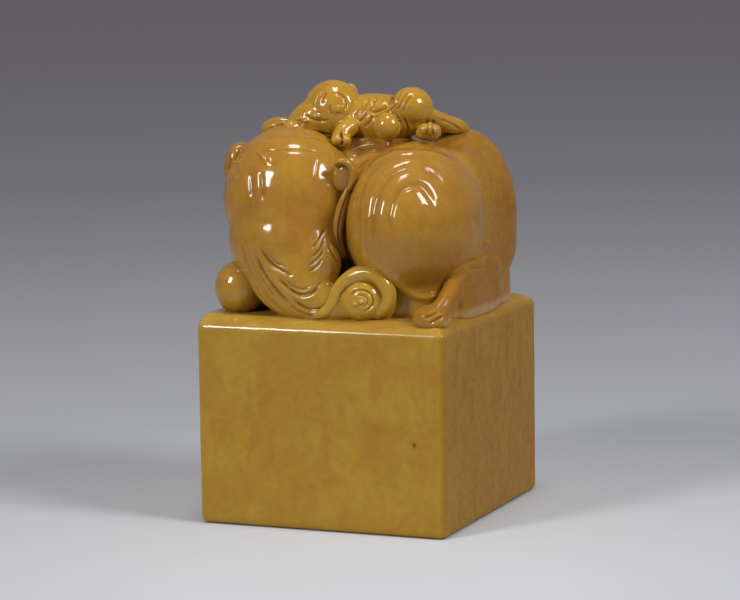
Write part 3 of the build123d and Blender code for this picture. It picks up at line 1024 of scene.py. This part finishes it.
def head_and_beard():
    lumps = [
        lump((-7.05, -5.9, 36.5), (8.0, 7.4, 8.35), fineness=6),  # skull
        lump((-6.7, -7.8, 31.8), (7.0, 6.2, 6.7), fineness=6),  # muzzle
        lump((-6.85, -6.9, 34.9), (7.3, 6.6, 4.2), fineness=6),  # bridge between the two
        lump(sight_point(312, 264, -11.2), (3.6, 2.2, 3.4)),  # beard below the cheek
    ]
    beard_line = (
        (-6.6, -10.6, 31.4),
        (-5.4, -11.4, 28.6),
        (-3.1, -11.9, 26.3),
        (0.0, -12.1, 25.2),
        (3.4, -12.0, 25.0),
    )
    widths = (5.0, 4.7, 3.7, 2.2, 1.6)
    thicknesses = (3.1, 2.7, 2.3, 2.0, 1.7)
    lumps += roll_of_lumps(beard_line, widths, thicknesses, facing_front)
    head = clay("head_and_beard", lumps, grain=0.13, rounding=2, blending=0.5, blending_rounds=9)
    carve(head, in_photo, head_strokes + beard_strokes)
    carve(head, from_left, head_side_strokes)
    finished(head, carved_finish, "carved_stone", "head", "muzzle", "beard")


def scroll_of_beard():
    lumps = [
        lump(sight_point(366, 297, -11.2), (3.7, 2.4, 3.7), fineness=6),
        lump(sight_point(363, 300, -12.6), (2.5, 1.9, 2.5), fineness=6),
    ]
    widths = (0.5, 0.8, 0.85, 0.9, 0.9, 0.9, 0.9, 0.9, 0.9, 0.85, 0.8, 0.6)
    thicknesses = (0.7, 0.9, 1.0, 1.1, 1.1, 1.1, 1.1, 1.1, 1.1, 1.0, 0.9, 0.7)
    lumps += roll_of_lumps(sight_line(sweep_into_scroll), widths, thicknesses, facing_front)
    scroll = clay("scroll_of_beard", lumps, grain=0.1, rounding=2, blending=0.16, blending_rounds=3)
    carve(scroll, in_photo, scroll_strokes)
    finished(scroll, painted_glow_finish, "carved_stone", "beard_scroll")


def ears_and_mane():
    lumps = [lump(sight_point(344, 175, -8.9), (1.3, 1.0, 1.9), tilt=(0, 14, 0))]
    widths = (0.35, 0.4, 0.42, 0.42, 0.4, 0.35)
    thicknesses = (0.6, 0.7, 0.7, 0.7, 0.7, 0.6)
    lumps += roll_of_lumps(sight_line(right_ear_rim), widths, thicknesses, facing_front)
    ear = clay("ear_on_right", lumps, grain=0.09, rounding=3)
    finished(ear, carved_finish, "carved_stone", "right_ear")

    lumps = [lump((-13.3, -6.5, 40.4), (1.5, 2.3, 2.6), tilt=(0, 12, 0), fullness=2.4)]
    ear = clay("ear_on_left", lumps, grain=0.1, rounding=2)
    carve(ear, in_photo, left_ear_strokes)
    carve(ear, from_left, ear_hollow_strokes)
    finished(ear, carved_finish, "carved_stone", "left_ear")

    widths = (0.4, 0.6, 0.65, 0.6, 0.5, 0.4)
    thicknesses = (1.0, 1.1, 1.1, 1.0, 0.9, 0.8)
    lumps = roll_of_lumps(sight_line(mane_lock_line), widths, thicknesses, facing_front)
    lock = clay("lock_of_mane", lumps, grain=0.09, rounding=3)
    carve(lock, in_photo, lock_strokes)
    finished(lock, carved_finish, "carved_stone", "mane_lock")

    lumps = [lump((-10.0, -2.0, 44.1), (2.5, 1.8, 1.5))]
    curl = clay("curl_of_mane", lumps, grain=0.1, rounding=2)
    carve(curl, in_photo, curl_strokes)
    finished(curl, carved_finish, "carved_stone", "mane_curl")


def limbs():
    lumps = [lump((11.4, -0.4, 26.4), (3.3, 8.0, 4.2), fullness=4.0)]
    widths = (1.2, 1.25, 1.25, 1.25, 1.3, 1.35)
    thicknesses = (1.2, 1.3, 1.3, 1.25, 1.2, 1.1)
    lumps += roll_of_lumps(sight_line(foreleg_line), widths, thicknesses, facing_right)
    lumps.append(lump((12.5, -12.4, 24.3), (2.1, 2.3, 1.5), fullness=2.5))
    leg = clay("foreleg_on_right", lumps, grain=0.12, rounding=2, blending=0.35, blending_rounds=6)
    carve(leg, in_photo, foreleg_strokes)
    finished(leg, carved_finish, "carved_stone", "right_foreleg", "right_elbow", "right_forepaw")

    lumps = [lump((-11.3, -5.9, 27.1), (2.9, 5.6, 4.1))]
    forearm = clay("forearm_on_left", lumps, grain=0.14, rounding=2)
    finished(forearm, carved_finish, "carved_stone", "left_forearm")

    lumps = [lump((-11.85, -10.0, 26.6), (2.8, 3.1, 3.1), fullness=2.15)]
    paw = clay("forepaw_on_left", lumps, grain=0.1, rounding=2)
    finished(paw, carved_finish, "carved_stone", "left_forepaw")

    lumps = [lump((11.6, 6.4, 25.6), (2.6, 3.9, 3.3), fullness=4.0)]
    paw = clay("hind_paw_on_right", lumps, grain=0.12, rounding=2)
    carve(paw, in_photo, hind_paw_strokes)
    finished(paw, carved_finish, "carved_stone", "right_hind_paw")

    lumps = [lump((-12.35, 5.1, 25.8), (2.3, 4.4, 2.9))]
    paw = clay("hind_paw_on_left", lumps, grain=0.12, rounding=2)
    finished(paw, carved_finish, "carved_stone", "left_hind_paw")


def tail():
    tail_line = ((1.0, 10.7, 40.7), (0.7, 12.9, 37.4), (0.8, 13.9, 33.4), (1.0, 13.8, 29.3))
    widths = (1.0, 1.45, 1.7, 1.95)
    thicknesses = (0.65, 0.95, 1.1, 1.25)
    lumps = roll_of_lumps(tail_line, widths, thicknesses, facing_back)
    brush = clay("brush_of_tail", lumps, grain=0.12, rounding=3)
    carve(brush, from_back, tail_strokes)
    finished(brush, carved_finish, "carved_stone", "tail")

    scroll_height = 26.15
    for name, node, across, way in (
        ("tail_curl_on_right", "right_tail_scroll", 4.4, 1),
        ("tail_curl_on_left", "left_tail_scroll", -2.4, -1),
    ):
        lumps = [lump((across, 12.2, scroll_height), (3.1, 2.2, 3.1), fullness=2.6)]
        scroll = clay(name, lumps, grain=0.1, rounding=2)
        centre = (across, scroll_height)
        marks = coil(centre, start_radius=0.5, end_radius=2.45, turns=1.7 * way, start_turn=90)
        carve(scroll, from_back, [("groove", 0.24, 0.42, marks)])
        finished(scroll, carved_finish, "carved_stone", node)


# The cub across the beast's back


def cub_with_paws():
    lumps = [
        lump((1.0, -0.2, 45.4), (6.4, 3.3, 2.9)),  # body
        lump((5.65, -0.4, 46.75), (2.45, 2.6, 2.35)),  # rump
        lump((3.91, -3.6, 44.75), (1.6, 1.5, 1.6)),  # hind paw
        lump((8.3, -2.0, 44.0), (1.5, 1.5, 0.9)),  # sole behind the toes
        lump(sight_point(424, 129.5, -4.5), (0.6, 0.9, 0.7), fineness=4),  # toes
        lump(sight_point(430, 128.5, -4.5), (0.6, 0.9, 0.75), fineness=4),
        lump(sight_point(436, 130, -4.0), (0.55, 0.9, 0.65), fineness=4),
    ]
    tail_line = ((7.0, 0.3, 46.0), (8.3, 2.2, 44.9), (9.25, 4.4, 44.3), (9.5, 6.4, 43.8))
    widths = (1.0, 1.2, 1.15, 0.75)
    thicknesses = (1.0, 1.1, 0.95, 0.6)
    lumps += roll_of_lumps(tail_line, widths, thicknesses, facing_up)
    body = clay("cub_with_paws", lumps, grain=0.1, rounding=2, blending=0.2, blending_rounds=4)
    carve(body, in_photo, cub_body_strokes)
    carve(body, from_back, cub_back_strokes)
    nodes = ("cub_body", "cub_rump", "cub_hind_paw", "cub_toe", "cub_tail")
    finished(body, painted_glow_finish, "carved_stone", *nodes)


def face_of_cub():
    lumps = [
        lump((-3.62, -1.39, 46.38), (3.5, 3.1, 3.5)),  # skull
        lump((-5.93, -1.92, 45.12), (3.9, 2.9, 2.5), tilt=(0, -38, 0)),  # muzzle
        lump((-7.57, -4.59, 44.37), (1.1, 1.1, 1.1), fineness=4),  # nose
        lump(sight_point(300.5, 128, -4.0), (0.7, 0.9, 0.9), fineness=4),  # chin
        lump(sight_point(337, 140, -5.5), (0.7, 0.8, 0.7), fineness=4),  # toes of the forepaw
        lump(sight_point(345.5, 140.5, -5.3), (0.7, 0.8, 0.7), fineness=4),
        lump((-2.57, 1.09, 48.06), (1.0, 0.7, 1.3), fineness=4),  # ear
    ]
    widths = (1.0, 1.1, 1.1, 1.0)
    thicknesses = (1.0, 1.1, 1.1, 0.9)
    lumps += roll_of_lumps(sight_line(cub_forearm_line), widths, thicknesses, facing_front)
    head = clay("face_of_cub", lumps, grain=0.09, rounding=2, blending=0.16, blending_rounds=3)
    carve(head, in_photo, cub_head_strokes)
    finished(head, painted_glow_finish, "carved_stone", "cub_head", "cub_muzzle", "cub_nose", "cub_ear")


beast_body()
head_and_beard()
scroll_of_beard()
ears_and_mane()
limbs()
tail()
cub_with_paws()
face_of_cub()


# Floor and light

floor_width = 18.0
floor_tone_centre = (15.0, -37.0, 0.0)
floor_tone_reach = 2000.0
# Painted light and shade on the floor by distance from the seal: bright close by, darker from 100
# to 450 mm, brighter far off
floor_painted_light_tones = (
    (20, shade(189, 190, 193)),
    (35, shade(183, 184, 187)),
    (60, shade(175, 176, 180)),
    (100, shade(159, 160, 164)),
    (200, shade(151, 151, 157)),
    (320, shade(146, 146, 152)),
    (450, shade(148, 147, 154)),
    (680, shade(165, 163, 171)),
    (1100, shade(187, 183, 191)),
    (1500, shade(195, 190, 199)),
    (2000, shade(199, 192, 203)),
)


def floor_finish():
    """A pale floor with painted light and shade: its tone changes with the distance from the seal,
    as under studio lamps.
    """
    finish = Finish("pale_floor")
    centre = [c / metre for c in floor_tone_centre]
    settings = {"operation": "DISTANCE"}
    inputs = {0: finish.place(), 1: centre}
    distance = finish.node("ShaderNodeVectorMath", settings, inputs, output="Value")
    share = (distance * (metre / floor_tone_reach)) ** 0.5
    stops = [((reach / floor_tone_reach) ** 0.5, tone) for reach, tone in floor_painted_light_tones]
    tone = finish.node("ShaderNodeValToRGB", {"stops": stops}, {0: share})
    inputs = {"Base Color": tone, "Roughness": 1.0, "Specular IOR Level": 0.0}
    return finish.done(finish.node("ShaderNodeBsdfPrincipled", {}, inputs))


def studio_floor():
    deselect()
    bpy.ops.mesh.primitive_plane_add(size=floor_width, location=(0, 0, 0))
    floor = bpy.context.active_object
    floor.name = "studio_floor"
    floor.data.materials.append(floor_finish())


lamp_reach = 0.60
lamp_target = (0, 0, 0.032)
room_strength = 0.195


def soft_lamp(name, turn, lift, wide, tall, power):
    """A soft box turned towards the seal from the camera's side, and lifted, both in degrees."""
    data = bpy.data.lights.new(name, "AREA")
    data.shape = "RECTANGLE"
    data.size = wide
    data.size_y = tall
    data.energy = power
    lamp = bpy.data.objects.new(name, data)
    bpy.context.scene.collection.objects.link(lamp)
    heading = sight_turn + math.radians(turn)
    lift_angle = math.radians(lift)
    way = Vector(
        (
            math.sin(heading) * math.cos(lift_angle),
            -math.cos(heading) * math.cos(lift_angle),
            math.sin(lift_angle),
        )
    )
    lamp.location = Vector(lamp_target) + way * lamp_reach
    lamp.rotation_euler = way.to_track_quat("Z", "Y").to_euler()


def room_light(strength):
    world = bpy.data.worlds.new("room")
    bpy.context.scene.world = world
    world.use_nodes = True
    background = world.node_tree.nodes["Background"]
    background.inputs["Color"].default_value = (1.0, 1.0, 1.0, 1.0)
    background.inputs["Strength"].default_value = strength


studio_floor()
soft_lamp("left_soft_box", turn=-49, lift=28, wide=0.12, tall=0.22, power=2.05)
soft_lamp("right_soft_box", turn=58, lift=38, wide=0.20, tall=0.20, power=2.4)
soft_lamp("top_soft_box", turn=0, lift=84, wide=0.14, tall=0.20, power=1.3)
room_light(room_strength)
bpy.context.scene.view_settings.view_transform = "Standard"
